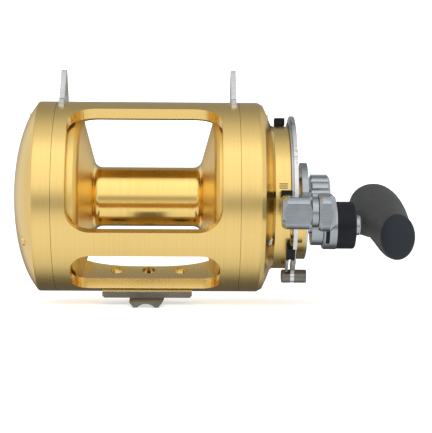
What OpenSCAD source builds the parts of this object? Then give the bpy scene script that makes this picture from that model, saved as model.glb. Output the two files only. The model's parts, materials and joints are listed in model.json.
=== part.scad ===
// Two-speed lever-drag trolling reel, 150 mm side plates, built as an assembly.
// +X runs along the spool axis toward the handle, +Y toward the rod tip, +Z up.
// The origin is the centre of the rod-clamp holes, on the underside of the foot ears.

/* [Frame] */
// Outside radius of the frame and of both side plates
frame_r = 75; // [74.5:0.1:75.5]
// Wall thickness of the one-piece frame
frame_wall = 8; // [7.6:0.1:8.2]
// Half of the frame's width between the two side plates
frame_half = 70.9; // [70.8:0.1:71]
// Thickness of the ears of the reel foot
ear_t = 4.3; // [4:0.1:6]

/* [Spool] */
// Radius of the spool flanges
spool_r = 64.8; // [63:0.1:65.5]
// Radius of the spool's arbor, where the line is wound
arbor_r = 23.4; // [22:0.1:25]
// Radius of the spool shaft
shaft_r = 6; // [5.8:0.05:6]
// Travel of the spool toward the drive plate when the drag lever is full on
drag_travel = 1.2; // [0.5:0.1:1.2]

/* [Gear train] */
// Tooth module of both gear pairs
gear_module = 1.1; // [1.1:0.1:1.1]
// Teeth of the high-speed gear
high_teeth = 50; // [50:1:50]
// Teeth of the low-speed gear
low_teeth = 40; // [40:1:40]
// Teeth shared by each pair, gear and pinion together
pair_teeth = 70; // [70:1:70]
// Tooth play of each pair
backlash = 0.3; // [0.2:0.05:0.4]

/* [Drag lever] */
// Distance from the spool axis to the centre of the lever's knob
lever_len = 77; // [77:0.5:80]
// Angle of the lever below the rear horizontal at its free stop
lever_free = 8.8; // [6:0.1:9]

/* [Handle] */
// Distance from the drive axis to the spindle of the grip
handle_len = 112; // [95:1:115]

/* [Hidden] */

$fn = 72;
eps = 0.01;
axis_z = frame_r + ear_t;
frame_in = frame_r - frame_wall;
gold = [0.86, 0.72, 0.40];
steel = [0.70, 0.72, 0.74];
black = [0.12, 0.12, 0.13];

// Stations along the spool axis, from left to right
dome_x = -105.1;
left_rim_x = -84.1;
seam_gap = 0.25;
spool_edge = 61;
washer_x = 59;
drive_x = 62.5;
bridge_x = 71;
bridge_t = 2.6;
ratchet_x = 74;
low_x = 76.8;
high_x = 82.8;
gear_w = 5.5;
web_x = 91;
boss_x = 110;
track_x = 110;
rail_x = 111.5;
cover_top = 122.5;
lever_x = 120.5;
lever_t = 5.1;

// The drive axis, below and behind the spool axis
centre_dist = gear_module * pair_teeth / 2;
drive_angle = 214.3;
drive_y = centre_dist * cos(drive_angle);
drive_z = centre_dist * sin(drive_angle);
drive_r = 6.5;
running = 0.06;
screw_angles = [94, 214, 334];
right_screw_angles = [94, 334];
port_angle = 214;
screw_ring = 62;
// The crank is drawn with its arm nearly level, pointing forward
handle_lift = 1;
spindle_y = drive_y + handle_len * cos(handle_lift);
spindle_z = drive_z + handle_len * sin(handle_lift);
foot_pad = 35;

// ---------------------------------------------------------------- helpers

// Children are drawn in side view (x = forward, y = up) and extruded toward +X.
module along_x(x = 0, y = 0, z = 0)
    translate([x, y, axis_z + z]) rotate([90, 0, 90]) children();

module on_drive(x = 0) along_x(x, drive_y, drive_z) children();

// A solid of revolution from points [radius, station].
module turned(points, sweep = 360) rotate_extrude(angle = sweep) polygon(points);

module ring(x0, x1, outer, inner)
    translate([0, 0, x0]) linear_extrude(x1 - x0) difference() {
        circle(outer);
        circle(inner);
    }

module disc(x0, x1, r) translate([0, 0, x0]) cylinder(r = r, h = x1 - x0);

module polar(radius, angle) rotate(angle) translate([radius, 0, 0]) children();

function arc(centre, r, from, to, steps = 6) =
    [for (i = [0:steps]) centre + r * [cos(from + (to - from) * i / steps),
                                       sin(from + (to - from) * i / steps)]];

function deg(radians) = radians * 180 / PI;
function involute(a) = tan(a) - a * PI / 180;

// Half of a tooth's angle at radius r, for a 20 degree involute.
function half_tooth(teeth, r) =
    let (pitch = teeth * gear_module / 2, base = pitch * cos(20))
    90 / teeth - deg(backlash / 4 / pitch)
    + deg(involute(20) - involute(acos(min(1, base / max(r, base)))));

// Spur gear outline with a tooth centred on the x axis.
module gear_outline(teeth) {
    pitch = teeth * gear_module / 2;
    radii = [pitch - 1.25 * gear_module, pitch - 0.5 * gear_module, pitch,
             pitch + 0.5 * gear_module, pitch + 0.95 * gear_module];
    polygon([for (i = [0:teeth - 1]) for (s = [-1, 1]) for (k = [0:4])
        let (r = radii[s < 0 ? k : 4 - k], a = 360 * i / teeth + s * half_tooth(teeth, r))
        r * [cos(a), sin(a)]]);
}

// Outline of a wheel with leaning teeth, for the ratchet and the clicker.
module saw_outline(teeth, tip, root, lean)
    polygon([for (i = [0:teeth - 1]) for (p = [[root, 0], [tip, lean]])
        let (a = 360 * (i + p[1]) / teeth) p[0] * [cos(a), sin(a)]]);

// Cutter for an opening in the frame, bounded by radial walls with rounded corners.
// wide_from stretches the corners of the first edge along x, for an edge that is one long curve.
module window(from, to, x0, x1, round_from, round_to, wide_from = 0) {
    inner = frame_in - 6;
    outer = frame_r + 10;
    turn = [for (t = [0:9:90]) [1 - cos(t), 1 - sin(t)]];
    span0 = from + deg(round_from / frame_r);
    span1 = to - deg(round_to / frame_r);
    mids = ceil((span1 - span0) / 12);
    inset = wide_from > 0 ? wide_from : round_from;
    rows = concat(
        [for (p = turn) [from + deg(round_from * p[0] / frame_r), inset * p[1]]],
        [for (i = [1:1:mids - 1]) [span0 + (span1 - span0) * i / mids, 0]],
        [for (i = [len(turn) - 1:-1:0])
            [to - deg(round_to * turn[i][0] / frame_r), round_to * turn[i][1]]]);
    last = len(rows) - 1;
    corners = [for (row = rows) for (c = [[inner, x0 + row[1]], [outer, x0 + row[1]],
                                          [outer, x1 - row[1]], [inner, x1 - row[1]]])
        [c[0] * cos(row[0]), c[0] * sin(row[0]), c[1]]];
    sides = [for (i = [0:last - 1]) for (k = [0:3]) let (n = (k + 1) % 4)
        [4 * i + k, 4 * i + n, 4 * (i + 1) + n, 4 * (i + 1) + k]];
    polyhedron(corners, concat([[3, 2, 1, 0]], sides,
        [[4 * last, 4 * last + 1, 4 * last + 2, 4 * last + 3]]), convexity = 6);
}

// ---------------------------------------------------------------- frame and foot

foot_screw_x = 26;
clamp_x = 29;
clamp_y = 13;
foot_screw_r = 3.2;
ear_y = 20;
saddle_y = 57.5;
saddle_t = 5.2;

// The front opening's lower edge is one long curve that dips over the foot.
module frame_windows() {
    window(116.6, 202, -60.7, 57.6, 22, 19);
    window(217.7, 253, -58, 56.4, 15, 15);
    window(-57.6, 69, -60.7, 57.6, 20, 20, 52);
}

module frame_foot_holes() {
    for (x = [-foot_screw_x, foot_screw_x]) {
        translate([x, 0, 0]) cylinder(r = foot_screw_r, h = 20);
        translate([x, 0, axis_z - frame_r + 4]) cylinder(r = 8, h = 9);
    }
    for (x = [-foot_screw_x, 0, foot_screw_x])
        translate([x, 0, axis_z]) rotate([26.7, 0, 0]) translate([0, 0, -frame_r - 2])
            cylinder(r = 5.2, h = 14);
}

module frame() color(gold) difference() {
    union() {
        along_x() ring(-frame_half, frame_half, frame_r, frame_in);
        along_x() ring(frame_half - 4.6, frame_half, frame_in + 1, 55);
        translate([-foot_pad, -15, ear_t]) cube([2 * foot_pad, 30, 2.2]);
    }
    along_x() frame_windows();
    frame_foot_holes();
    along_x() for (a = right_screw_angles) polar(screw_ring, a)
        disc(frame_half - 5, frame_half + 1, 2.1);
    along_x() for (a = bridge_angles) polar(bridge_ring, a)
        disc(frame_half - 5, frame_half + 1, 1.75);
    for (side = [-1, 1]) lug_screw_places(side) cylinder(r = 1.25, h = 7.5);
}

// Flat ears that bolt to the frame and to the rod clamp.
module foot_ears() difference() {
    translate([-foot_pad, -ear_y, 0]) cube([2 * foot_pad, 2 * ear_y, ear_t]);
    for (s = [-1, 1]) translate([s * foot_pad, 0, 0]) rotate([0, 45, 0])
        cube([2.4, 60, 2.4], center = true);
}

// Saddle along the rod, with a concave groove that rides on the blank.
module foot_saddle() difference() {
    rotate([90, 0, 0]) translate([0, 0, -saddle_y]) linear_extrude(2 * saddle_y)
        polygon([[-13.7, 0.3], [-9.5, -saddle_t], [9.5, -saddle_t], [13.7, 0.3]]);
    translate([0, 60, -11.4]) rotate([90, 0, 0]) cylinder(r = 9, h = 120);
    // the toes thin out for the hoods of a reel seat
    for (s = [0, 180]) rotate(s) translate([-20, ear_y + eps, 0]) rotate([90, 0, 90])
        linear_extrude(40) polygon([[0, 0], [0, 1], [40, 1], [40, -1.2]]);
}

module reel_foot() color([0.33, 0.33, 0.34]) difference() {
    union() {
        foot_ears();
        foot_saddle();
    }
    for (x = [-clamp_x, clamp_x]) for (y = [-clamp_y, clamp_y])
        translate([x, y, -1]) cylinder(r = 3.2, h = ear_t + 2);
    for (x = [-foot_screw_x, foot_screw_x]) translate([x, 0, -1]) cylinder(r = 2.6, h = ear_t + 2);
}

module foot_screws() color(black) for (x = [-foot_screw_x, foot_screw_x]) translate([x, 0, 0])
    difference() {
        union() {
            translate([0, 0, 0.4]) cylinder(r = 2.55, h = 8);
            translate([0, 0, ear_t + 4.02]) cylinder(r = 7.4, h = 1.6);
        }
        translate([0, 0, ear_t + 4.4]) cylinder(r = 2.2, h = 3, $fn = 6);
    }

// ---------------------------------------------------------------- harness lugs

lug_x = 67;
lug_t = 4;

// Where the two screws of one lug stand, with z pointing at the spool axis.
module lug_screw_places(side)
    for (y = [-22.6, 22.6]) translate([side * lug_x, 0, axis_z]) rotate([-asin(y / frame_r), 0, 0])
        translate([0, 0, frame_r + 3.1]) rotate([180, 0, 0]) children();

module lug_profile() difference() {
    polygon([[-28, 60], [-28, 70.4], [-22, 76.2], [-14.6, 87], [-6, 98], [-3.4, 100.2],
             [3.4, 100.2], [6, 98], [14.6, 87], [22, 76.2], [28, 70.4], [28, 60]]);
    circle(frame_r + 0.02);
    polygon([[-16.6, 80], [-15, 79], [15, 79], [16.6, 80], [2, 96], [-2, 96]]);
}

module harness_lugs() color(steel) for (side = [-1, 1]) difference() {
    along_x(side * lug_x - lug_t / 2) linear_extrude(lug_t) lug_profile();
    lug_screw_places(side) {
        translate([0, 0, -6]) cylinder(r = 2, h = 7);
        cylinder(r = 1.3, h = 8);
    }
}

module harness_screws() color(steel) for (side = [-1, 1]) lug_screw_places(side) {
    translate([0, 0, -1.2]) cylinder(r = 1.95, h = 2.2);
    cylinder(r = 1.2, h = 7);
}

// ---------------------------------------------------------------- left side

dome_fillet = 2.4;
dome_wall = 4.5;
dome_seat = 14;
// The dome is part of an ellipse a little wider than the plate
dome_span = frame_r + 6.4;
dome_depth = 33;

// Outer surface of the dome at radius r, as a station along x.
function dome_at(r) = dome_x + dome_depth * (1 - sqrt(1 - r * r / (dome_span * dome_span)));

module left_side_plate() color(gold) along_x() difference() {
    union() {
        difference() {
            turned(concat([[0, dome_x]],
                [for (i = [1:20]) let (r = (frame_r - 1.4) * i / 20) [r, dome_at(r)]],
                arc([frame_r - dome_fillet, left_rim_x], dome_fillet, -50, 0),
                [[frame_r, -frame_half - seam_gap], [0, -frame_half - seam_gap]]));
            turned(concat([[dome_seat, -frame_half + 1], [dome_seat, dome_at(dome_seat) + dome_wall]],
                [for (i = [2:10]) let (r = 66 * i / 10) [r, dome_at(r) + dome_wall]],
                [[70.5, left_rim_x + 3.4], [70.5, -frame_half + 1]]));
        }
        screw_posts(dome_at(screw_ring) + dome_wall - 1, -82.6, screw_angles);
    }
    disc(-86, -frame_half + 1, 9);
    disc(-frame_half - 6, -frame_half + 1, dome_seat + 1);
    // slot for the clicker's stem
    polar(0, click_angle) translate([click_r - 3.2, -3.2, dome_x - 1])
        cube([click_travel + 6.4, 6.4, 30]);
    for (a = screw_angles) polar(screw_ring, a) {
        disc(-120, -60, 2.3);
        disc(-120, screw_seat, 3.5);
    }
}

screw_seat = dome_at(screw_ring) + 2.3;

module screw_posts(from, to, angles) for (a = angles) polar(screw_ring, a) ring(from, to, 5, 2.3);

module left_end_ring() color(gold) along_x() difference() {
    union() {
        ring(-frame_half, -65.2, frame_in - 0.1, 56);
        screw_posts(-82.5, -frame_half + eps, screw_angles);
    }
    for (a = screw_angles) polar(screw_ring, a) disc(-100, -60, 2.3);
}

module left_plate_screws() color(steel) along_x() for (a = screw_angles) polar(screw_ring, a)
    difference() {
        union() {
            disc(screw_seat - 2.2, screw_seat - 0.05, 3.3);
            disc(screw_seat - 1, -66.6, 2.15);
        }
        disc_hex(screw_seat - 2.3, screw_seat - 0.7);
    }

// Socket for a hexagon key.
module disc_hex(x0, x1) translate([0, 0, x0]) cylinder(r = 1.6, h = x1 - x0, $fn = 6);

module left_shaft_bush() color([0.75, 0.55, 0.3]) along_x() ring(-85.9, -77, 8.95, shaft_r + running);

click_angle = 11;
click_r = 40;
click_travel = 6;

// Sliding button of the clicker with its stem and the plate that carries the pawl.
module clicker_button() color(black) along_x() polar(0, click_angle) {
    translate([click_r + click_travel, 0, 0]) {
        disc(-105.6, -102.4, 5);
        disc(-102.8, -74, 2.8);
    }
    translate([26 + click_travel, -5, -76]) cube([26, 10, 2.4]);
    translate([28.5 + click_travel, 0, 0]) disc(-75, -68.4, 1.5);
}

module clicker_pawl() color(steel) along_x() polar(0, click_angle)
    translate([28.5 + click_travel, 0, -73.3]) linear_extrude(4) difference() {
        polygon([[-11.9, -0.5], [-11.9, 0.5], [-3, 3.2], [3.4, 3.2], [3.4, -3.2], [-3, -3.2]]);
        circle(1.55);
    }

// ---------------------------------------------------------------- right side

boss_r = 56.5;

module right_side_plate() color(gold) along_x() {
    difference() {
        union() {
            difference() {
                turned(concat([[0, frame_half + seam_gap], [frame_r, frame_half + seam_gap]],
                    arc([frame_r - 4, 85], 4, 0, 40, 4),
                    [[72.9, 89.8], [66.4, 92.9], [57.7, 96.3], [boss_r, 98]],
                    arc([boss_r - 0.8, boss_x - 0.8], 0.8, 0, 90, 3),
                    [[0, boss_x]]));
                turned([[0, frame_half - 1], [70.3, frame_half - 1], [70.3, 85.2], [67.8, 88.9],
                        [60, web_x], [51, 94.5], [51, 106], [0, 106]]);
            }
            ring(web_x, boss_x, 19, shaft_r + running);
            on_drive_local() disc(web_x, boss_x, 14);
            screw_posts(bridge_x + bridge_t + 0.05, web_x + 1, right_screw_angles);
        }
        disc(web_x - 1, 97.3, 13);
        disc(97, boss_x + 1, shaft_r + 0.4);
        on_drive_local() disc(web_x - 1, boss_x + 1, 9);
        for (a = right_screw_angles) polar(screw_ring, a) disc(60, 120, 2.3);
        for (a = screw_angles) polar(screw_ring, a) disc(92.5, 120, 3.5);
        polar(screw_ring, port_angle) disc(80, 120, 2.3);
        for (a = quadrant_screws_at) polar(53, a) disc(rail_x - 5.5, boss_x + 1, 1.6);
        for (a = cover_screws_at) polar(43.5, a) disc(100, boss_x + 1, 1.9);
    }
}

// Moves from the spool axis to the drive axis inside side-view drawings.
module on_drive_local() translate([drive_y, drive_z, 0]) children();

// Socket head screw in the shoulder of the right plate, with its tip at station x.
module shoulder_screw(x) difference() {
    union() {
        disc(92.55, 94.6, 3.3);
        disc(x, 93, 2.05);
    }
    disc_hex(93.3, 96);
}

module right_plate_screws() color(steel) along_x()
    for (a = right_screw_angles) polar(screw_ring, a) shoulder_screw(67);

// Plug of the port that oils the gears.
module oil_port_screw() color(steel) along_x() polar(screw_ring, port_angle) shoulder_screw(90.5);

bridge_angles = [40, 140, 250, 300];
bridge_ring = 66;

module bridge_plate() color(steel) along_x() difference() {
    disc(bridge_x, bridge_x + bridge_t, 70);
    disc(bridge_x - 1, ratchet_x, 9.5);
    on_drive_local() disc(bridge_x - 1, ratchet_x, 8.5);
    for (a = right_screw_angles) polar(screw_ring, a) disc(bridge_x - 1, ratchet_x, 2.3);
    for (a = bridge_angles) polar(bridge_ring, a) disc(bridge_x - 1, ratchet_x, 1.8);
    for (a = pawl_angles) polar(pawl_ring, a) disc(bridge_x - 1, ratchet_x, 1.9);
}

// Screws that hold the bridge plate on the frame's inner flange.
module bridge_screws() color(steel) along_x() for (a = bridge_angles) polar(bridge_ring, a) {
    disc(bridge_x + bridge_t, bridge_x + bridge_t + 1.6, 2.9);
    disc(67, bridge_x + bridge_t + 0.5, 1.7);
}

module bearing(x0, x1, outer, inner) color(steel) difference() {
    ring(x0, x1, outer, inner);
    for (x = [x0 - 1, x1 - 0.4]) ring(x, x + 1.4, outer - 1.4, inner + 1.4);
}

module pinion_bearing() along_x() bearing(91.2, 96.8, 12.95, 8 + running);

module drive_inner_bush() color([0.75, 0.55, 0.3]) on_drive() ring(bridge_x, bridge_x + 2.4, 8.4, 4.5 + running);

module drive_outer_bearing() on_drive() bearing(113, 119, 11.95, drive_r + running);

// ---------------------------------------------------------------- gearbox cover

cover_r = 49;
hub_gap_r = 29.2;
cover_x = 110.02;

module cover_sector(x0, x1, outer, inner, from, to)
    translate([0, 0, x0]) rotate(from) rotate_extrude(angle = to - from)
        translate([inner, 0]) square([outer - inner, x1 - x0]);

module gearbox_cover() color(gold) along_x() difference() {
    union() {
        rotate(206) turned([[18, cover_x], [cover_r, cover_x], [cover_r, cover_top],
            [hub_gap_r, cover_top], [hub_gap_r, 119.8], [18, 119.8]], 136);
        on_drive_local() disc(cover_x + 0.1, 119.6, 14);
    }
    on_drive_local() {
        disc(112.9, 119.2, 12);
        disc(100, 130, 8.6);
    }
    // lightening pocket under the crown
    cover_sector(cover_x - 1, 118, cover_r - 3, 33, 252, 330);
    for (a = cover_screws_at) polar(43.5, a) disc(100, 130, 1.9);
    for (a = cover_screws_at) polar(43.5, a) disc(cover_top - 1.6, 130, 3.4);
}

cover_screws_at = [245, 336];

module cover_rim() color(steel) along_x()
    cover_sector(cover_top + 0.02, 124, cover_r, 46.8, 206.5, 341.5);

module cover_screws() color(steel) along_x() for (a = cover_screws_at) polar(43.5, a)
    difference() {
        union() {
            disc(cover_top - 1.58, cover_top - 0.2, 3.2);
            disc(106.2, cover_top - 1, 1.8);
        }
        translate([0, 0, cover_top - 1.1]) cylinder(r = 1.3, h = 2, $fn = 6);
    }

// ---------------------------------------------------------------- drag quadrant

rail_out = 64.6;
rail_in = 55.6;
track_out = 59.5;

module quadrant_track() color(black) along_x() difference() {
    cover_sector(track_x + 0.02, rail_x, track_out, 50.5, 20, 196);
    for (a = quadrant_screws_at) polar(53, a) disc(100, 130, 1.6);
}

rail_top = 114.5;

// Silver rail, notched on its edge past the free stop, with an eye for the post at its end.
module quadrant_rail() color(steel) along_x() {
    difference() {
        union() {
            cover_sector(rail_x + 0.02, rail_top, rail_out, rail_in, 22, post_angle);
            polar(post_ring, post_angle) disc(rail_x + 0.02, rail_top, 5);
        }
        for (a = [145, 153]) polar(rail_out + 0.4, a) disc(100, 130, 1.6);
        cover_sector(rail_top - 0.4, 116, 61.2, 59, 24, 215);
        cover_sector(rail_x - 1, rail_top + 1, rail_out + 1, 59.9, 218.6, 229.4);
        polar(post_ring, post_angle) disc(100, 130, stud_r + 0.02);
    }
    cover_sector(107, 109, rail_out, boss_r + 0.05, 229.4, 244);
}

quadrant_screws_at = [30, 75, 120, 165];

module quadrant_screws() color(steel) along_x() for (a = quadrant_screws_at) polar(53, a) {
    disc(rail_x + 0.02, rail_x + 1.6, 2.2);
    disc(rail_x - 5, rail_x + 0.5, 1.55);
}

module free_stop() color(black) along_x()
    cover_sector(101.5, track_x - 0.1, rail_out, boss_r + 0.05, 176, 181);

module lower_stop() color(black) along_x() {
    cover_sector(107, 110, rail_out - 0.4, boss_r + 0.05, 219, 229);
    cover_sector(109.9, 113.5, rail_out - 0.4, 60, 219, 229);
}

post_angle = 252.1;
post_ring = 65;
post_r = 5.2;
stud_r = 2.6;

// Headed stud through the rail's eye, and the sleeve nut that clamps it.
module quadrant_post() color([0.5, 0.5, 0.52]) along_x() polar(post_ring, post_angle) {
    turned(concat([[0, 104.5]], arc([post_r - 1.2, 105.7], 1.2, -90, 0, 3),
        [[post_r, rail_x], [stud_r, rail_x], [stud_r, 121], [0, 121]]));
    ring(rail_top + 0.02, 124, post_r, stud_r + 0.02);
}

module strike_button() color(black) along_x() rotate(88) translate([boss_r + 0.6, -6, 100])
    cube([5.8, 12, 8]);

// ---------------------------------------------------------------- drag lever

module fixed_cam() color([0.75, 0.6, 0.35]) along_x() difference() {
    disc(boss_x + 0.02, 115.5, 16);
    disc(100, 130, shaft_r + 0.4);
    for (a = [0:120:359]) rotate(a) cover_sector(114, 116, 14, 9, 0, 40);
}

module lever_cam() color([0.75, 0.6, 0.35]) along_x() ring(116, lever_x - 0.02, 16, shaft_r + 0.2);

lever_bend = 50;
knob_r = lever_len;

module lever_outline() {
    circle(27.7);
    polygon([[20, -9], [20, 9], [38, 5.8], [knob_r, 5.2], [knob_r, -5.2], [38, -5.8]]);
    translate([knob_r, 0]) circle(11.4);
}

module drag_lever() color(steel) along_x() rotate(180 + lever_free) difference() {
    union() {
        difference() {
            translate([0, 0, lever_x]) linear_extrude(lever_t) lever_outline();
            translate([lever_bend + 4, -20, lever_x - 1]) cube([60, 40, lever_t + 2]);
        }
        difference() {
            translate([0, 0, 123]) linear_extrude(4.7) lever_outline();
            translate([-60, -60, 100]) cube([60 + lever_bend - 4, 120, 40]);
        }
    }
    disc(100, 140, shaft_r + 0.2);
    cover_sector(lever_x + 2.6, 130, 24.6, 20.4, 20, 70);
    translate([knob_r, 0, 100]) cylinder(r = 2.6, h = 60);
}

// Square barrel with chamfered edges; the ends are chamfered too.
module barrel(x0, x1, half, corner, bevel0, bevel1) {
    outline = [for (q = [0:3]) for (p = [[half, corner - half], [half, half - corner]])
        let (c = cos(90 * q), s = sin(90 * q)) [c * p[0] - s * p[1], s * p[0] + c * p[1]]];
    intersection() {
        translate([0, 0, x0]) linear_extrude(x1 - x0) polygon(outline);
        turned([[0, x0], [half - bevel0 + 1.2, x0], [half + 2.2, x0 + bevel0 + 1],
                [half + 2.2, x1 - bevel1 - 1], [half - bevel1 + 1.2, x1], [0, x1]]);
    }
}

module knob_place() along_x() rotate(180 + lever_free) translate([knob_r, 0, 0]) children();

module lever_knob_inner() color(steel) knob_place() difference() {
    barrel(101, 122.9, 11.9, 3, 2.4, 1);
    disc(100, 102.4, 1.6);
    disc(112, 130, 2.55);
}

module lever_knob_outer() color(steel) knob_place() union() {
    barrel(128, 140.5, 13.2, 4, 1.2, 3.4);
    disc(113, 128.5, 2.5);
}

// ---------------------------------------------------------------- spool shaft group

module spool_shaft() color(steel) along_x() {
    disc(-84, 129.5, shaft_r);
    disc(129, 141, 4.2);
}

knob_flutes = 12;

module preset_knob() color(steel) along_x() difference() {
    turned([[4.26, 128.5], [17.6, 128.5], [18.5, 129.4], [18.5, 141.6], [16, 143.7],
            [0, 143.7], [0, 141.2], [4.26, 141.2]]);
    for (i = [0:knob_flutes - 1]) polar(20.6, 360 * i / knob_flutes + 15) disc(120, 150, 3.4);
    disc(120, 129.8, shaft_r + 0.1);
}

module spring_washers() color([0.5, 0.5, 0.52]) along_x() for (i = [0:1])
    translate([0, 0, -53.2 - 1.9 * i]) turned([[6.1, 0], [10.4, -0.9], [10.4, -1.5], [6.1, -0.6]]);

// ---------------------------------------------------------------- spool

rim_bevel = 4;
rim_x = 55.4;
flange_lean = 15.5;
fillet = 7;

// Inner face of the flange, from its rim down to the fillet on the arbor, on the +x side.
function flange_face(side) =
    let (top = spool_r - rim_bevel, touch = arbor_r + fillet * (1 - sin(flange_lean)),
         foot_x = rim_x - rim_bevel - (top - touch) * tan(flange_lean) - fillet * cos(flange_lean))
    [for (p = concat([[spool_r, spool_edge], [spool_r, rim_x], [top, rim_x - rim_bevel]],
        arc([arbor_r + fillet, foot_x], fillet, 90 + flange_lean, 180)))
        [p[0], side * p[1]]];

module spool() color(gold) along_x() difference() {
    turned(concat([[9.2, spool_edge - 2], [51.5, washer_x], [51.5, spool_edge]],
        flange_face(1),
        [for (i = [len(flange_face(-1)) - 1:-1:0]) flange_face(-1)[i]],
        [[60, -spool_edge], [57, -56], [30, -52.4], [17, -52.4], [17, -57.4], [9.2, -57.4]]));
    disc(46.5, 70, 10.97);
    disc(-60, -46.5, 10.97);
}

module spool_bearings() along_x() {
    bearing(47, 52, 10.95, shaft_r + running);
    bearing(-52, -47, 10.95, shaft_r + running);
}

module friction_washer() color([0.2, 0.2, 0.22]) along_x() ring(washer_x + 0.02, washer_x + 2, 50, 20);

module clicker_gear() color(steel) along_x() difference() {
    union() {
        translate([0, 0, -72.8]) linear_extrude(3.4) saw_outline(24, 15.9, 13.8, 0.5);
        ring(-70, -57.42, 14, 9.3);
    }
    disc(-80, -50, 9.3);
}

// ---------------------------------------------------------------- drive train

sleeve_r = 8;

module drive_plate() color(steel) along_x() difference() {
    union() {
        disc(drive_x, drive_x + 3.4, 50);
        disc(drive_x, drive_x + 5, 16);
        disc(drive_x, 96.9, sleeve_r);
    }
    disc(50, 110, shaft_r + 0.08);
    for (a = [0:60:359]) polar(34, a) disc(50, 70, 5);
}

module on_sleeve(x, w) difference() {
    translate([0, 0, x]) linear_extrude(w) children();
    disc(x - 1, x + w + 1, sleeve_r + 0.02);
}

module ratchet_wheel() color(steel) along_x() on_sleeve(ratchet_x, 2.4) saw_outline(16, 15, 12.6, 0.85);

// The teeth face the drive axis with a gap, where the gear has a tooth.
module pinion_low() color(steel) along_x() on_sleeve(low_x, gear_w)
    rotate(drive_angle + 180 / (pair_teeth - low_teeth)) gear_outline(pair_teeth - low_teeth);

module pinion_high() color(steel) along_x() on_sleeve(high_x, gear_w)
    rotate(drive_angle + 180 / (pair_teeth - high_teeth)) gear_outline(pair_teeth - high_teeth);

pawl_ring = 24;
pawl_angles = [60, 330];

module pawl(angle) color(steel) along_x() polar(pawl_ring, angle) {
    translate([0, 0, ratchet_x + 0.1]) linear_extrude(2.2)
        polygon([[-3.5, -2.6], [-8.35, 7.3], [-7.1, 8.6], [3, 2.6], [3, -2.6]]);
    disc(bridge_x + 0.1, ratchet_x + 2.5, 1.85);
}

module pawls_upper() pawl(pawl_angles[0]);

module pawls_lower() pawl(pawl_angles[1]);

module wheel_hole(teeth) for (a = [0:60:359]) polar(teeth * gear_module / 2 * 0.62, a + 30)
    children();

module gear_low() color([0.6, 0.55, 0.4]) on_drive() difference() {
    translate([0, 0, low_x]) rotate(drive_angle - 180) linear_extrude(gear_w) gear_outline(low_teeth);
    disc(60, 100, drive_r + running);
    wheel_hole(low_teeth) disc(60, 100, 2.6);
}

module gear_high() color([0.6, 0.55, 0.4]) on_drive() difference() {
    translate([0, 0, high_x]) rotate(drive_angle - 180) linear_extrude(gear_w) gear_outline(high_teeth);
    disc(60, 100, drive_r + 0.02);
    wheel_hole(high_teeth) disc(60, 100, 3.6);
}

rod_r = 2.4;
shift_travel = 4;
key_x = high_x + 1.6;
shaft_end = 156.5;
cap_end = 160.5;
cap_r = 18.3;

module drive_shaft() color(steel) on_drive() difference() {
    union() {
        disc(bridge_x + 0.1, 75, 4.5);
        disc(74.6, shaft_end, drive_r);
    }
    disc(76.5, 170, rod_r + running);
    translate([-1.7, -9, 78.6]) cube([3.4, 18, 9]);
}

module shift_button() color(steel) on_drive() {
    turned([[0, 164.6], [7, 164.6], [7.8, 163.8], [7.8, 161.2], [0, 161.2]]);
    disc(key_x - 2, 162, rod_r);
    intersection() {
        translate([-1.5, -7, key_x - 1]) cube([3, 14, 2.4]);
        disc(70, 100, drive_r - 0.3);
    }
}

module drive_sleeve() color(steel) on_drive() ring(126.4, 135, 15.7, drive_r + 0.02);

// The catch stands on the lower rear of the hub
catch_x = 138.4;
catch_angle = 212;

module handle_hub() color(steel) on_drive() difference() {
    turned(concat([[drive_r + 0.02, 135.02]], arc([16.8, 137.02], 2, -90, 0, 4),
        [[18.8, 145.7], [drive_r + 0.02, 145.7]]));
    rotate(catch_angle) translate([13, -5.6, catch_x - 1.5]) cube([7, 11.2, 3]);
}

module shift_catch() color(black) on_drive() rotate(catch_angle)
    translate([14.2, -5.3, catch_x - 1.2]) cube([3.4, 10.6, 2.4]);

arm_x = 145.75;
arm_t = 6;

module handle_cap() color(black) on_drive() difference() {
    turned(concat([[drive_r + 0.05, arm_x], [cap_r, arm_x]], arc([cap_r - 2, cap_end - 2], 2, 0, 90, 4),
        [[8.2, cap_end], [8.2, shaft_end + 0.1], [drive_r + 0.05, shaft_end + 0.1]]));
    // seat of the handle arm, open toward the arm
    disc(arm_x - 1, arm_x + arm_t + 0.03, 14.05);
    rotate(handle_lift) translate([0, -13.96, arm_x - 1]) cube([30, 27.92, arm_t + 1.03]);
}

module handle_arm() color(steel) on_drive() rotate(handle_lift) difference() {
    union() {
        disc(arm_x, arm_x + arm_t, 14);
        translate([0, 0, arm_x]) linear_extrude(arm_t)
            polygon([[0, -13.9], [0, 13.9], [handle_len, 9.9], [handle_len, -9.9]]);
        translate([handle_len, 0, 0]) disc(arm_x, arm_x + arm_t, 10);
    }
    disc(arm_x - 1, arm_x + arm_t + 1, drive_r + 0.02);
    translate([handle_len, 0, 0]) disc(arm_x - 1, arm_x + arm_t + 1, 4.02);
}

module on_spindle() along_x(0, spindle_y, spindle_z) children();

module handle_spindle() color(steel) on_spindle() {
    disc(arm_x - 1.6, 206, 4);
    disc(arm_x + arm_t + 0.02, 157.4, 7.4);
    disc(205, 207, 6);
}

// ---------------------------------------------------------------- grip

grip_far = [196, 38, 14.4];
grip_mid = [199.6, 0, 7.4];
grip_near = [202.4, -42, -10.8];

module ball_at(p, r, tall = 1) translate([p[1], p[2], p[0]]) scale([1, tall, 1]) sphere(r, $fn = 32);

// T-shaped rubber grip: a bent bar across the spindle, on a short neck.
module grip() color([0.29, 0.29, 0.30]) on_spindle() difference() {
    union() {
        hull() {
            ball_at(grip_far, 21);
            ball_at(grip_mid, 20);
        }
        hull() {
            ball_at(grip_mid, 20);
            ball_at(grip_near, 14.4, 1.34);
        }
        disc(158.2, 200, 8.7);
    }
    disc(150, 207.6, 6.4);
}

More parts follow.
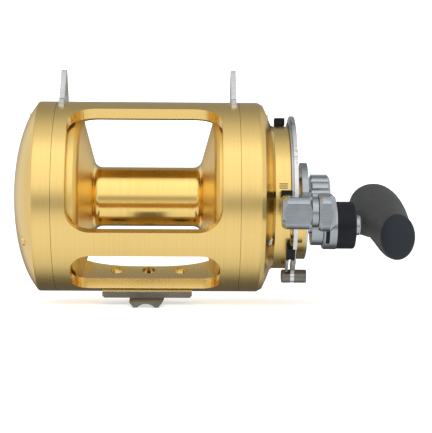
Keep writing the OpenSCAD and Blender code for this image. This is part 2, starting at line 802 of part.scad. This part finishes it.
module grip_bushes() color([0.75, 0.55, 0.3]) on_spindle() {
    ring(159, 164, 6.35, 4.06);
    ring(199, 204, 6.35, 4.06);
}

frame();
left_end_ring();
left_side_plate();
left_plate_screws();
left_shaft_bush();
right_side_plate();
right_plate_screws();
oil_port_screw();
bridge_plate();
bridge_screws();
pinion_bearing();
gearbox_cover();
cover_rim();
cover_screws();
drive_inner_bush();
drive_outer_bearing();
quadrant_track();
quadrant_rail();
quadrant_screws();
free_stop();
lower_stop();
quadrant_post();
strike_button();
fixed_cam();
drag_lever();
lever_cam();
lever_knob_inner();
lever_knob_outer();
spool_shaft();
preset_knob();
spring_washers();
spool();
spool_bearings();
friction_washer();
clicker_gear();
drive_plate();
ratchet_wheel();
pinion_low();
pinion_high();
pawls_upper();
pawls_lower();
gear_low();
drive_shaft();
gear_high();
drive_sleeve();
handle_hub();
handle_cap();
handle_arm();
handle_spindle();
shift_button();
shift_catch();
grip();
grip_bushes();
clicker_button();
clicker_pawl();
harness_lugs();
harness_screws();
reel_foot();
foot_screws();
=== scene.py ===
"""Looks of the trolling reel: materials, finer pieces, studio and camera around the CAD frame."""
import json
import math

import bmesh
import bpy
from mathutils import Matrix, Vector


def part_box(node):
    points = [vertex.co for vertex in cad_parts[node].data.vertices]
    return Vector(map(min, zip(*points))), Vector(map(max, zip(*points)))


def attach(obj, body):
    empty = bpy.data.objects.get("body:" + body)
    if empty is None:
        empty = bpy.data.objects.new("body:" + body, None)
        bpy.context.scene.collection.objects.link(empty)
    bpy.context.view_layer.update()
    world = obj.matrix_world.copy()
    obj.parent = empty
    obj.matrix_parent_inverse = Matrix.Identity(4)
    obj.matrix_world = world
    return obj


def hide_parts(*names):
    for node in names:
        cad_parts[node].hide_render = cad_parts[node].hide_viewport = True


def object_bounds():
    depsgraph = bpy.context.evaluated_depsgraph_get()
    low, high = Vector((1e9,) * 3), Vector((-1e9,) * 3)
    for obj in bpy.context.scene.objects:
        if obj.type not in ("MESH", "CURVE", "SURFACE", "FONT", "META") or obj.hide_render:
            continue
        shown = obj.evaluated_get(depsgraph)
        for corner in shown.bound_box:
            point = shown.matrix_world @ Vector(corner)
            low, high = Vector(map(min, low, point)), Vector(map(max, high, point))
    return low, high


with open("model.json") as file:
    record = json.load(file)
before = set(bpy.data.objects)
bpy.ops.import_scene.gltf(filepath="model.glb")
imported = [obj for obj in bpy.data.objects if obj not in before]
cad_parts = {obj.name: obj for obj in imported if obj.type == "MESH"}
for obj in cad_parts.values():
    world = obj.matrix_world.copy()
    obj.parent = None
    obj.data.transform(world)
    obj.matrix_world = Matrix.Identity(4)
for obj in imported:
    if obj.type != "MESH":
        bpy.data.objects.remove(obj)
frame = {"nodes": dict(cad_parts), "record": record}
nodes = frame["nodes"]
record = frame["record"]
cad_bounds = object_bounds()

MM = 0.001
plate_low, plate_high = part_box("left_side_plate")
AXIS_Z = (plate_high.z + plate_low.z) / 2
SLOT_OF = {s["node"]: s["material_slot"] for s in record["subparts"]}


# ---------------------------------------------------------------- node helpers


class Nodes:
    """A small builder for the node tree of a material or of the world."""

    def __init__(self, name, owners=bpy.data.materials, shader="Principled BSDF"):
        self.material = owners.new(name)
        self.material.use_nodes = True
        self.tree = self.material.node_tree
        self.shader = self.tree.nodes[shader]

    def add(self, kind, **values):
        node = self.tree.nodes.new(kind)
        for key, value in values.items():
            setattr(node, key, value)
        return node

    def link(self, source, target):
        self.tree.links.new(source, target)

    def math(self, operation, a, b=0.0, clamp=False):
        node = self.add("ShaderNodeMath", operation=operation, use_clamp=clamp)
        for socket, value in zip(node.inputs, (a, b)):
            if hasattr(value, "type"):
                self.link(value, socket)
            else:
                socket.default_value = value
        return node.outputs[0]

    def object_coords(self):
        return self.add("ShaderNodeTexCoord").outputs["Object"]

    def noise(self, vector, scale, detail=3.0, roughness=0.5, dimensions="3D"):
        node = self.add("ShaderNodeTexNoise", noise_dimensions=dimensions)
        self.link(vector, node.inputs["Vector"])
        node.inputs["Scale"].default_value = scale
        node.inputs["Detail"].default_value = detail
        node.inputs["Roughness"].default_value = roughness
        return node.outputs["Fac"]

    def spread(self, value, low, high, to_low, to_high):
        node = self.add("ShaderNodeMapRange")
        self.link(value, node.inputs["Value"])
        limits = {"From Min": low, "From Max": high, "To Min": to_low, "To Max": to_high}
        for key, number in limits.items():
            node.inputs[key].default_value = number
        return node.outputs["Result"]

    def ramp(self, factor, stops):
        """Grey levels (place, level) along the factor."""
        node = self.add("ShaderNodeValToRGB")
        elements = node.color_ramp.elements
        elements.remove(elements[1])
        elements[0].position, level = stops[0]
        elements[0].color = (level, level, level, 1)
        for place, level in stops[1:]:
            elements.new(place).color = (level, level, level, 1)
        self.link(factor, node.inputs["Fac"])
        return node.outputs["Color"]

    def blend(self, factor, first, second):
        node = self.add("ShaderNodeMix", data_type="RGBA")
        self.link(factor, node.inputs["Factor"])
        for key, colour in (("A", first), ("B", second)):
            socket = [s for s in node.inputs if s.name == key and s.type == "RGBA"][0]
            if hasattr(colour, "type"):
                self.link(colour, socket)
            else:
                socket.default_value = (*colour, 1)
        return [s for s in node.outputs if s.type == "RGBA"][0]

    def bump(self, height, strength, distance):
        node = self.add("ShaderNodeBump")
        node.inputs["Strength"].default_value = strength
        node.inputs["Distance"].default_value = distance
        self.link(height, node.inputs["Height"])
        self.link(node.outputs["Normal"], self.shader.inputs["Normal"])

    def set(self, **values):
        for key, value in values.items():
            socket = self.shader.inputs[key.replace("_", " ")]
            if hasattr(value, "type"):
                self.link(value, socket)
            else:
                socket.default_value = (*value, 1) if isinstance(value, tuple) else value
        return self.material


def turning_coords(n, axis_y, axis_z):
    """Coordinates that are the same all round a lathe axis along X: fine rings when used in a noise."""
    split = n.add("ShaderNodeSeparateXYZ")
    n.link(n.object_coords(), split.inputs[0])
    dy = n.math("SUBTRACT", split.outputs["Y"], axis_y)
    dz = n.math("SUBTRACT", split.outputs["Z"], axis_z)
    radius = n.math("SQRT", n.math("ADD", n.math("MULTIPLY", dy, dy), n.math("MULTIPLY", dz, dz)))
    join = n.add("ShaderNodeCombineXYZ")
    n.link(split.outputs["X"], join.inputs["X"])
    n.link(radius, join.inputs["Y"])
    return join.outputs[0]


# Fill of the generic marks on the boss, and where they stand:
# along X in mm, and round the axis in degrees
INK = (0.012, 0.012, 0.01)
MARK_X = (100.5, 107.0)
MARK_ANGLES = (170.4, 172.0, 173.6)
MARK_HALF = 0.36


def boss_marks(n):
    """Mask of a few short index lines beside the lever's free position."""
    split = n.add("ShaderNodeSeparateXYZ")
    n.link(n.object_coords(), split.inputs[0])
    along = n.math("MULTIPLY", n.math("GREATER_THAN", split.outputs["X"], MARK_X[0] * MM),
                   n.math("LESS_THAN", split.outputs["X"], MARK_X[1] * MM))
    angle = n.math("ARCTAN2", n.math("SUBTRACT", split.outputs["Z"], AXIS_Z), split.outputs["Y"])
    lines = 0.0
    for place in MARK_ANGLES:
        off = n.math("ABSOLUTE", n.math("SUBTRACT", angle, math.radians(place)))
        lines = n.math("ADD", n.math("LESS_THAN", off, math.radians(MARK_HALF)), lines)
    return n.math("MULTIPLY", along, lines)


def turned_metal(name, light, dark, rough, lines=700.0, grain=0.03, inner_rough=None, marks=False):
    """Metal finished on a lathe: fine rings in colour, roughness and height, and a few soft stains.

    inner_rough is the roughness near the axis, where a spool's arbor is polished.
    """
    n = Nodes(name)
    turning = turning_coords(n, 0.0, AXIS_Z)
    rings = n.noise(turning, lines, detail=4.0, roughness=0.7)
    stain = n.noise(n.object_coords(), 14.0, detail=3.0)
    mixed = n.math("ADD", n.math("MULTIPLY", rings, 0.5), n.math("MULTIPLY", stain, 0.5))
    tone = n.spread(mixed, 0.3, 0.7, 0.0, 1.0)
    colour = n.blend(tone, dark, light)
    if marks:
        colour = n.blend(boss_marks(n), colour, INK)
    roughness = n.spread(rings, 0.3, 0.7, rough + 0.04, rough - 0.04)
    if inner_rough is not None:
        split = n.add("ShaderNodeSeparateXYZ")
        n.link(turning, split.inputs[0])
        polish = n.spread(split.outputs["Y"], 27 * MM, 34 * MM, inner_rough - rough, 0.0)
        roughness = n.math("ADD", roughness, polish)
    n.bump(rings, grain, 0.0001)
    return n.set(Base_Color=colour, Metallic=1.0, Roughness=roughness)


def satin_metal(name, light, dark, rough, scale=420.0):
    """Milled or brushed metal: fine scratches along one direction over a mottled tone."""
    n = Nodes(name)
    stretch = n.add("ShaderNodeMapping")
    stretch.inputs["Scale"].default_value = (0.12, 1.0, 1.0)
    n.link(n.object_coords(), stretch.inputs["Vector"])
    scratch = n.noise(stretch.outputs[0], scale * 3, detail=5.0, roughness=0.65)
    mottle = n.noise(n.object_coords(), 60.0, detail=4.0)
    tone = n.spread(n.math("ADD", scratch, mottle), 0.7, 1.3, 0.0, 1.0)
    n.bump(scratch, 0.08, 0.0001)
    return n.set(
        Base_Color=n.blend(tone, dark, light),
        Metallic=1.0,
        Roughness=n.spread(mottle, 0.3, 0.7, rough - 0.05, rough + 0.07),
    )


def painted(name, light, dark, rough, bump=0.1, scale=900.0):
    """Anodised, coated or moulded surface with a fine grain and rubbed, slightly lighter spots."""
    n = Nodes(name)
    grain = n.noise(n.object_coords(), scale, detail=3.0)
    wear = n.noise(n.object_coords(), 45.0, detail=5.0, roughness=0.6)
    n.bump(grain, bump, 0.0002)
    return n.set(
        Base_Color=n.blend(n.spread(wear, 0.35, 0.7, 0.0, 1.0), dark, light),
        Roughness=n.spread(wear, 0.3, 0.7, rough + 0.06, rough - 0.06),
        Specular_IOR_Level=0.2,
    )


def rubber(name, light, dark, shade):
    """Moulded rubber with a fine pebble, with painted shade: darker on the neck and on the face of its
    near end.
    """
    n = Nodes(name)
    place = n.add("ShaderNodeTexCoord")
    where = n.add("ShaderNodeSeparateXYZ")
    facing = n.add("ShaderNodeSeparateXYZ")
    n.link(place.outputs["Object"], where.inputs[0])
    n.link(place.outputs["Normal"], facing.inputs[0])
    pebble = n.noise(place.outputs["Object"], 1500.0, detail=2.0)
    wear = n.noise(place.outputs["Object"], 60.0, detail=4.0)
    # Painted shade: the near end's face towards -Y and the neck are blended towards the shade colour,
    # standing in for shadow there
    face = n.math("MULTIPLY", n.spread(facing.outputs["Y"], -0.35, -0.7, 0.0, 1.0),
                  n.spread(where.outputs["Y"], 42 * MM, 36 * MM, 0.0, 1.0))
    neck = n.spread(where.outputs["X"], 186 * MM, 174 * MM, 0.0, 0.8)
    n.bump(pebble, 0.2, 0.0002)
    return n.set(
        Base_Color=n.blend(n.math("MAXIMUM", face, neck), n.blend(wear, dark, light), shade),
        Roughness=n.spread(wear, 0.3, 0.7, 0.62, 0.5),
        Specular_IOR_Level=0.2,
    )


GOLD_LIGHT = (0.89, 0.645, 0.24)
GOLD_DARK = (0.845, 0.60, 0.21)
CHROME_LIGHT = (0.44, 0.48, 0.51)
CHROME_DARK = (0.34, 0.375, 0.40)
materials = {
    "gold": turned_metal("gold_anodised", GOLD_LIGHT, GOLD_DARK, 0.27),
    "gold_marked": turned_metal("gold_marked", GOLD_LIGHT, GOLD_DARK, 0.27, marks=True),
    "gold_spool": turned_metal("gold_spool", (0.96, 0.71, 0.26), (0.90, 0.63, 0.19), 0.36,
                               grain=0.02, inner_rough=0.20),
    "silver": satin_metal("chrome_satin", CHROME_LIGHT, CHROME_DARK, 0.20),
    "steel": satin_metal("steel", (0.58, 0.60, 0.61), (0.42, 0.44, 0.45), 0.26),
    "bright": satin_metal("bright_steel", (0.80, 0.81, 0.80), (0.60, 0.61, 0.61), 0.24),
    "dark": painted("black_anodised", (0.008, 0.0105, 0.014), (0.004, 0.005, 0.007), 0.45),
    "foot": satin_metal("dark_foot", (0.25, 0.235, 0.205), (0.16, 0.15, 0.13), 0.40),
    "bronze": satin_metal("bronze", (0.62, 0.43, 0.20), (0.48, 0.31, 0.13), 0.30),
    "friction": painted("friction_disc", (0.06, 0.06, 0.065), (0.03, 0.03, 0.03), 0.7,
                        bump=0.3, scale=1400.0),
    # The last colour is the painted shade on the grip's neck and near end face
    "rubber": rubber("grip_rubber", (0.070, 0.071, 0.071), (0.052, 0.053, 0.054),
                     (0.018, 0.023, 0.030)),
}
LOOKS = {"spool": "gold_spool", "right_side_plate": "gold_marked", "harness_lugs": "bright",
         "harness_screws": "bright", "quadrant_rail": "bright", "cover_rim": "bright",
         "left_plate_screws": "gold", "right_plate_screws": "gold"}


# ---------------------------------------------------------------- CAD nodes


def smooth_group(limit_deg):
    """Geometry nodes that shade a mesh smooth, apart from edges sharper than the limit."""
    group = bpy.data.node_groups.new("smooth_under_limit", "GeometryNodeTree")
    group.interface.new_socket("Geometry", in_out="INPUT", socket_type="NodeSocketGeometry")
    group.interface.new_socket("Geometry", in_out="OUTPUT", socket_type="NodeSocketGeometry")
    start = group.nodes.new("NodeGroupInput")
    end = group.nodes.new("NodeGroupOutput")
    faces = group.nodes.new("GeometryNodeSetShadeSmooth")
    edges = group.nodes.new("GeometryNodeSetShadeSmooth")
    edges.domain = "EDGE"
    angle = group.nodes.new("GeometryNodeInputMeshEdgeAngle")
    compare = group.nodes.new("FunctionNodeCompare")
    compare.data_type = "FLOAT"
    compare.operation = "LESS_THAN"
    compare.inputs["B"].default_value = math.radians(limit_deg)
    group.links.new(angle.outputs["Unsigned Angle"], compare.inputs["A"])
    group.links.new(start.outputs[0], faces.inputs["Geometry"])
    group.links.new(faces.outputs[0], edges.inputs["Geometry"])
    group.links.new(compare.outputs["Result"], edges.inputs["Shade Smooth"])
    group.links.new(edges.outputs[0], end.inputs[0])
    return group


SMOOTH = smooth_group(32)


def smooth(piece):
    piece.modifiers.new("smooth", "NODES").node_group = SMOOTH
    normals = piece.modifiers.new("normals", "WEIGHTED_NORMAL")
    normals.keep_sharp = True


def finish_node(name, material, bevel):
    """Rounds the edges of a CAD node by bevel mm and gives it its material."""
    piece = nodes[name]
    piece.data.materials.clear()
    piece.data.materials.append(materials[material])
    weld = piece.modifiers.new("weld", "WELD")
    weld.merge_threshold = 0.002 * MM
    flat = piece.modifiers.new("flat", "DECIMATE")
    flat.decimate_type = "DISSOLVE"
    flat.angle_limit = math.radians(0.4)
    if bevel:
        edge = piece.modifiers.new("edge", "BEVEL")
        edge.width = bevel * MM
        edge.segments = 2
        edge.limit_method = "ANGLE"
        edge.angle_limit = math.radians(38)
        edge.use_clamp_overlap = True
    smooth(piece)


# Width of the rounded edges in mm
EDGE = 0.2
BEVELS = {"frame": 0.9, "left_side_plate": 0.35, "right_side_plate": 0.35, "reel_foot": 0.5,
          "harness_lugs": 0.6, "drag_lever": 0.5, "gearbox_cover": 0.4, "lever_knob_inner": 0.5,
          "lever_knob_outer": 0.5, "preset_knob": 0.4, "handle_arm": 0.6, "grip": 0.0}
for node_name in nodes:
    look = LOOKS.get(node_name, SLOT_OF[node_name])
    finish_node(node_name, look, BEVELS.get(node_name, EDGE))


# ---------------------------------------------------------------- grip


def turn(corners):
    """The angles of a ring's corners."""
    return [2 * math.pi * i / corners for i in range(corners)]


def tube(stations, corners=40):
    """A closed skin over rings (centre, half width, half height) that stand across Y."""
    shape = bmesh.new()
    rings = []
    for centre, half_x, half_z in stations:
        rings.append([shape.verts.new(centre + Vector((half_x * math.cos(t), 0, half_z * math.sin(t))))
                      for t in turn(corners)])
    for low, high in zip(rings, rings[1:]):
        for i in range(corners):
            shape.faces.new((low[i], low[i - 1], high[i - 1], high[i]))
    shape.faces.new(rings[0])
    shape.faces.new(list(reversed(rings[-1])))
    return shape


def rounded_end(centre, half_x, half_z, depth, ends, power):
    """Rings that close the bar with a dome; a high power keeps the end face flat up to its edge."""
    rings = []
    for i in range(9):
        t = math.pi / 2 * (i + 0.4) / 9.4
        size = math.sin(t) ** (2 / power)
        out = math.cos(t) ** (2 / power)
        rings.append((centre + Vector((0, ends * depth * out, 0)), half_x * size, half_z * size))
    return rings


def smooth_path(points, steps):
    """Catmull-Rom interpolation of (y, x, z, half width, half height) rows."""
    rows = []
    for i in range(len(points) - 1):
        before, start, end, after = (points[max(0, i - 1)], points[i], points[i + 1],
                                     points[min(len(points) - 1, i + 2)])
        for k in range(steps):
            t = k / steps
            rows.append([0.5 * (2 * b + (c - a) * t + (2 * a - 5 * b + 4 * c - d) * t * t
                                + (3 * b - a - 3 * c + d) * t ** 3)
                         for a, b, c, d in zip(before, start, end, after)])
    return rows + [list(points[-1])]


# Along the bar from its near end, in mm from the spindle: y, x, z, half width, half height
GRIP_BAR = (
    (-53.0, 203.2, -11.6, 14.8, 19.2),
    (-40.0, 202.8, -10.2, 15.6, 19.6),
    (-24.0, 201.6, -5.0, 17.4, 19.0),
    (-6.0, 199.0, 3.5, 20.0, 19.2),
    (16.0, 196.8, 10.5, 21.8, 19.4),
    (36.0, 196.0, 14.0, 21.8, 20.0),
    (46.0, 195.6, 14.8, 20.0, 18.6),
)
# Along the spindle, in mm: x, radius
NECK = ((158.2, 8.9), (166.0, 9.0), (174.0, 9.8), (181.0, 11.0), (187.0, 13.0), (196.0, 14.0))


def grip_mesh():
    """The bent bar with its flatter near end, and the neck around the spindle, as overlapping skins."""
    spindle_low, spindle_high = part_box("handle_spindle")
    spindle = Vector((0, (spindle_low.y + spindle_high.y) / 2, (spindle_low.z + spindle_high.z) / 2))
    rows = smooth_path(GRIP_BAR, 5)
    stations = [(Vector((x, y, z)), a, b) for y, x, z, a, b in rows]
    near = rounded_end(*stations[0], 6.0, -1, 2.5)
    far = rounded_end(*stations[-1], 13.0, 1, 2.0)
    shape = tube(near + stations + list(reversed(far)))
    around = 32
    rings = [[shape.verts.new((x, r * math.cos(t), r * math.sin(t))) for t in turn(around)]
             for x, r in NECK]
    for low, high in zip(rings, rings[1:]):
        for i in range(around):
            shape.faces.new((low[i - 1], low[i], high[i], high[i - 1]))
    shape.faces.new(rings[0])
    shape.faces.new(list(reversed(rings[-1])))
    bmesh.ops.recalc_face_normals(shape, faces=shape.faces)
    for vertex in shape.verts:
        vertex.co = vertex.co * MM + spindle
    mesh = bpy.data.meshes.new("grip_body")
    shape.to_mesh(mesh)
    shape.free()
    return mesh


def add_piece(name, mesh, body, material):
    piece = bpy.data.objects.new(name, mesh)
    bpy.context.scene.collection.objects.link(piece)
    mesh.materials.append(material)
    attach(piece, body)
    return piece


def grip():
    """One soft skin grown over the bar and the neck."""
    piece = add_piece("grip_body", grip_mesh(), "grip", materials["rubber"])
    skin = piece.modifiers.new("skin", "REMESH")
    skin.mode = "VOXEL"
    skin.voxel_size = 1.0 * MM
    skin.use_smooth_shade = True
    relax = piece.modifiers.new("relax", "SMOOTH")
    relax.factor = 0.5
    relax.iterations = 6
    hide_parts("grip")


grip()


# ---------------------------------------------------------------- studio

# Brightness of the surround by its angle above the camera's side of the horizon, in degrees.
# Fitted to the shading of the frame and both side plates in the photograph.
SURROUND = (
    # below the reel, from the back round to the front
    (-180, 0.40), (-175, 0.12), (-136, 0.12), (-119, 0.16), (-106, 0.42), (-94, 0.74), (-84, 0.86),
    (-66, 0.96), (-45, 1.02), (-26, 0.98),
    # a dark gap just below the camera's level
    (-18, 0.70), (-11, 0.42), (-4, 0.42), (4, 0.98),
    # the strip light over the camera, fading over the top to the back
    (11, 1.18), (41, 1.28), (57, 1.38), (66, 1.15), (75, 0.92), (85, 0.80), (95, 0.68), (107, 0.50),
    (120, 0.38), (137, 0.31), (175, 0.33), (180, 0.50),
)
BRIGHTEST = 1.4
# Cards at both ends of the table light what faces along X, and reach farther round behind the reel
CARD_EDGE = (0.62, 0.86)
CARD_LEVEL = 0.86
CARD_BEHIND = 0.3


def surround():
    """World light that changes with the angle about the X axis, as strip lights over a table do."""
    n = Nodes("surround", bpy.data.worlds, "Background")
    split = n.add("ShaderNodeSeparateXYZ")
    n.link(n.add("ShaderNodeTexCoord").outputs["Generated"], split.inputs[0])
    angle = n.math("ARCTAN2", split.outputs["Z"], n.math("MULTIPLY", split.outputs["Y"], -1.0))
    place = n.math("ADD", n.math("DIVIDE", angle, 2 * math.pi), 0.5)
    stops = [(degrees / 360 + 0.5, level / BRIGHTEST) for degrees, level in SURROUND]
    behind = n.spread(split.outputs["Y"], 0.0, 0.6, 0.0, CARD_BEHIND)
    beside = n.math("ADD", n.math("ABSOLUTE", split.outputs["X"]), behind)
    sideways = n.spread(beside, *CARD_EDGE, 0.0, 1.0)
    card = (CARD_LEVEL / BRIGHTEST,) * 3
    n.set(Color=n.blend(sideways, n.ramp(place, stops), card), Strength=BRIGHTEST)
    bpy.context.scene.world = n.material


# The paper's level: just under the foot
PAPER_Z = cad_bounds[0].z - 0.2 * MM


def paper_sheet(name, profile, filled=False, corners=96):
    """Paper turned about the vertical axis from points (radius, height); filled closes the middle."""
    shape = bmesh.new()
    rings = [[shape.verts.new((r * math.cos(t), r * math.sin(t), PAPER_Z + z)) for t in turn(corners)]
             for r, z in profile]
    for low, high in zip(rings, rings[1:]):
        for i in range(corners):
            shape.faces.new((low[i - 1], low[i], high[i], high[i - 1])).smooth = True
    if filled:
        shape.faces.new(rings[0])
    mesh = bpy.data.meshes.new(name)
    shape.to_mesh(mesh)
    shape.free()
    sheet = bpy.data.objects.new(name, mesh)
    bpy.context.scene.collection.objects.link(sheet)
    n = Nodes(name + "_paper")
    fibre = n.noise(n.object_coords(), 300.0)
    mesh.materials.append(n.set(
        Base_Color=n.blend(fibre, (0.90, 0.90, 0.90), (0.93, 0.93, 0.93)),
        Roughness=0.9,
        Emission_Color=(1.0, 1.0, 1.0),
        Emission_Strength=0.55,
    ))
    # metal picks up the surround, not the paper
    sheet.visible_glossy = False
    return sheet


def paper_stage():
    """Pale round floor, and a wall of the same paper far around it that shades nothing."""
    reach, bend, height, steps = 4.0, 0.8, 4.0, 12
    paper_sheet("floor", [(0.6, 0.0), (1.5, 0.0), (reach, 0.0)], filled=True)
    cove = [(reach + bend * math.sin(t), bend - bend * math.cos(t))
            for t in (math.pi / 2 * i / steps for i in range(steps + 1))]
    wall = paper_sheet("wall", cove + [(reach + bend, height)])
    wall.visible_diffuse = False
    wall.visible_shadow = False


def soft_box(name, place, size, watts):
    light = bpy.data.lights.new(name, "AREA")
    light.shape = "RECTANGLE"
    light.size, light.size_y = size
    light.energy = watts
    lamp = bpy.data.objects.new(name, light)
    lamp.location = place
    target = Vector((0.02, 0.0, AXIS_Z))
    lamp.rotation_euler = (target - Vector(place)).to_track_quat("-Z", "Y").to_euler()
    lamp.visible_glossy = False
    bpy.context.scene.collection.objects.link(lamp)


# The camera's place, its yaw and roll in degrees, and its lens in mm
CAMERA_PLACE = Vector((27.3 * MM, -1.1, AXIS_Z - 15.5 * MM))
CAMERA_YAW = -1.39
CAMERA_ROLL = 0.3
FOCAL_LENGTH = 114.9


def camera():
    """A long lens behind the reel, a little below its axis and nearly square to it."""
    lens = bpy.data.cameras.new("camera")
    lens.lens = FOCAL_LENGTH
    lens.sensor_width = 36.0
    lens.clip_start = 0.05
    view = bpy.data.objects.new("camera", lens)
    level = Matrix.Rotation(math.radians(90), 4, "X")
    yaw = Matrix.Rotation(math.radians(CAMERA_YAW), 4, "Z")
    roll = Matrix.Rotation(math.radians(CAMERA_ROLL), 4, "Z")
    view.matrix_world = Matrix.Translation(CAMERA_PLACE) @ yaw @ level @ roll
    bpy.context.scene.collection.objects.link(view)
    bpy.context.scene.camera = view


surround()
paper_stage()
soft_box("key_box", (-0.2, -0.9, 1.1), (1.9, 0.75), 3.0)
soft_box("fill_box", (1.1, -0.9, 0.5), (0.9, 0.9), 1.2)
camera()
bpy.context.scene.view_settings.view_transform = "Standard"
